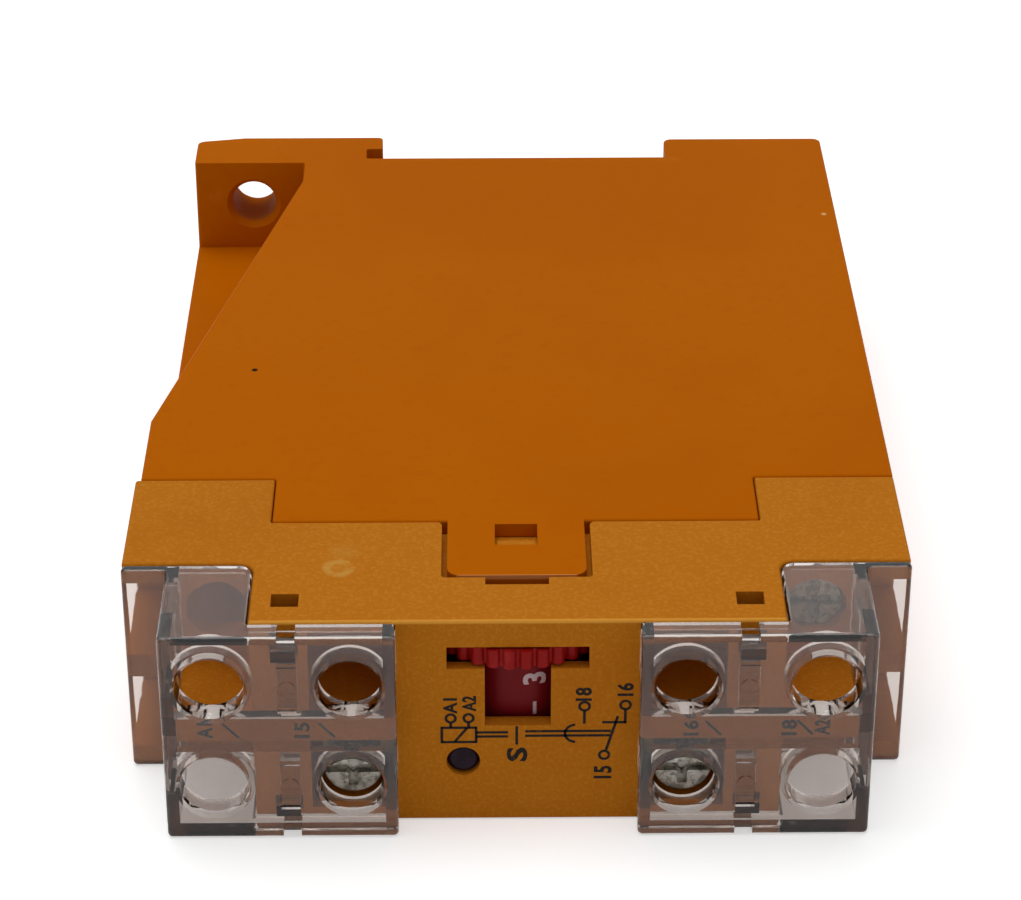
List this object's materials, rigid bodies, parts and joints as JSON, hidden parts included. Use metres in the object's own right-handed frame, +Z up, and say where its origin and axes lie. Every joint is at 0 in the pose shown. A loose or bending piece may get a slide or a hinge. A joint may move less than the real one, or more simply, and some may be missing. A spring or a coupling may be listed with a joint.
{
  "type": "timer relay",
  "caption": "Rail-mounted timer relay with stepped clamp terminals under clear clip-on covers, a thumbwheel for the time and a status light.",
  "frame": {"origin": "centre of the bottom face of the relay's bounding box, where it lies on its side", "axes": "+X across the rail, to the right in the picture; +Y from the front face to the rail; +Z up, across the module's width"},
  "size_m": [0.075, 0.11, 0.0225],
  "materials": {
    "smooth_orange": "satin moulded plastic",
    "sandy_orange": "fine grained matt plastic",
    "clear_cover": "clear moulded plastic",
    "red_wheel": "dark red translucent plastic",
    "led_lens": "dark tinted lens",
    "latch_plastic": "matt plastic",
    "spring_steel": "bright wire",
    "screw_steel": "tarnished plated steel",
    "cage_steel": "plated steel",
    "bar_brass": "stamped brass",
    "board_green": "solder resist",
    "black_plastic": "matt moulded plastic",
    "white_plastic": "matt moulded plastic",
    "relay_case": "moulded plastic",
    "copper_coil": "enamelled winding wire",
    "soft_iron": "plated iron",
    "contact_metal": "spring brass with silver contacts",
    "tinned_lead": "tinned wire",
    "film_yellow": "moulded box",
    "timing_red": "moulded box",
    "capacitor_sleeve": "shrink sleeve",
    "varistor_blue": "dipped coating",
    "resistor_tan": "lacquer"
  },
  "bodies": {
    "body": {"rear_housing": "smooth_orange", "front_housing": "sandy_orange", "terminal_cover_left": "clear_cover", "terminal_cover_right": "clear_cover", "pot_body": "black_plastic", "led": "led_lens", "led_leads": "tinned_lead", "latch_spring": "spring_steel", "main_board": "board_green", "relay_base": "black_plastic", "relay_case": "relay_case", "relay_bobbin": "white_plastic", "relay_coil": "copper_coil", "relay_core": "soft_iron", "relay_yoke": "soft_iron", "relay_no_contact": "contact_metal", "relay_nc_contact": "contact_metal", "relay_coil_pins": "tinned_lead", "film_capacitor": "film_yellow", "smoothing_capacitor": "capacitor_sleeve", "smoothing_leads": "tinned_lead", "timing_capacitor": "timing_red", "timer_chip": "black_plastic", "chip_pins": "tinned_lead", "bridge_rectifier": "black_plastic", "varistor": "varistor_blue", "resistors": "resistor_tan", "resistor_leads": "tinned_lead", "transistor": "black_plastic", "standing_leads": "tinned_lead", "terminal_bar_a1": "bar_brass", "terminal_bar_15": "bar_brass", "terminal_bar_16": "bar_brass", "terminal_bar_18": "bar_brass", "terminal_bar_a2": "bar_brass"},
    "thumbwheel": {"thumbwheel": "red_wheel", "pot_rotor": "white_plastic"},
    "rail_latch": {"rail_latch": "latch_plastic"},
    "relay_armature": {"relay_armature": "soft_iron", "relay_moving_contact": "contact_metal"},
    "screw_a1": {"terminal_screw_a1": "screw_steel"},
    "cage_a1": {"clamp_cage_a1": "cage_steel"},
    "screw_15": {"terminal_screw_15": "screw_steel"},
    "cage_15": {"clamp_cage_15": "cage_steel"},
    "screw_16": {"terminal_screw_16": "screw_steel"},
    "cage_16": {"clamp_cage_16": "cage_steel"},
    "screw_18": {"terminal_screw_18": "screw_steel"},
    "cage_18": {"clamp_cage_18": "cage_steel"},
    "screw_a2": {"terminal_screw_a2": "screw_steel"},
    "cage_a2": {"clamp_cage_a2": "cage_steel"}
  },
  "joints": [
    {"name": "thumbwheel_turn", "type": "hinge", "parent": "body", "child": "thumbwheel", "pos_m": [0, -0.0438, 0.0137], "axis": [0, 0, 1], "range_deg": [-123, 148]},
    {"name": "latch_slide", "type": "slide", "parent": "body", "child": "rail_latch", "axis": [1, 0, 0], "range_m": [0, 0.0025], "stiffness_N_per_m": 400, "springref_m": -0.004, "deforming": ["latch_spring"]},
    {"name": "armature_tilt", "type": "hinge", "parent": "body", "child": "relay_armature", "pos_m": [0.016, 0.01582, 0.01835], "axis": [0, 1, 0], "range_deg": [0, 3.8], "stiffness_Nm_per_rad": 0.02, "springref_deg": -11.46},
    {"name": "screw_a1_turn", "type": "hinge", "parent": "body", "child": "screw_a1", "pos_m": [-0.0286, -0.041, 0.0058], "axis": [0, 1, 0], "range_deg": [0, 1584]},
    {"name": "cage_a1_slide", "type": "slide", "parent": "body", "child": "cage_a1", "axis": [0, -1, 0], "range_m": [0, 0.0022]},
    {"name": "screw_15_turn", "type": "hinge", "parent": "body", "child": "screw_15", "pos_m": [-0.0156, -0.0519, 0.0058], "axis": [0, 1, 0], "range_deg": [0, 1584]},
    {"name": "cage_15_slide", "type": "slide", "parent": "body", "child": "cage_15", "axis": [0, -1, 0], "range_m": [0, 0.0022]},
    {"name": "screw_16_turn", "type": "hinge", "parent": "body", "child": "screw_16", "pos_m": [0.0156, -0.0519, 0.0058], "axis": [0, 1, 0], "range_deg": [0, 1584]},
    {"name": "cage_16_slide", "type": "slide", "parent": "body", "child": "cage_16", "axis": [0, -1, 0], "range_m": [0, 0.0022]},
    {"name": "screw_18_turn", "type": "hinge", "parent": "body", "child": "screw_18", "pos_m": [0.0286, -0.041, 0.0058], "axis": [0, 1, 0], "range_deg": [0, 1584]},
    {"name": "cage_18_slide", "type": "slide", "parent": "body", "child": "cage_18", "axis": [0, -1, 0], "range_m": [0, 0.0022]},
    {"name": "screw_a2_turn", "type": "hinge", "parent": "body", "child": "screw_a2", "pos_m": [0.0286, -0.041, 0.0167], "axis": [0, 1, 0], "range_deg": [0, 1584]},
    {"name": "cage_a2_slide", "type": "slide", "parent": "body", "child": "cage_a2", "axis": [0, -1, 0], "range_m": [0, 0.0022]}
  ],
  "couplings": [
    {"joint": "screw_a1_turn", "follows": "cage_a1_slide", "rad_per_m": 12566},
    {"joint": "screw_15_turn", "follows": "cage_15_slide", "rad_per_m": 12566},
    {"joint": "screw_16_turn", "follows": "cage_16_slide", "rad_per_m": 12566},
    {"joint": "screw_18_turn", "follows": "cage_18_slide", "rad_per_m": 12566},
    {"joint": "screw_a2_turn", "follows": "cage_a2_slide", "rad_per_m": 12566}
  ]
}
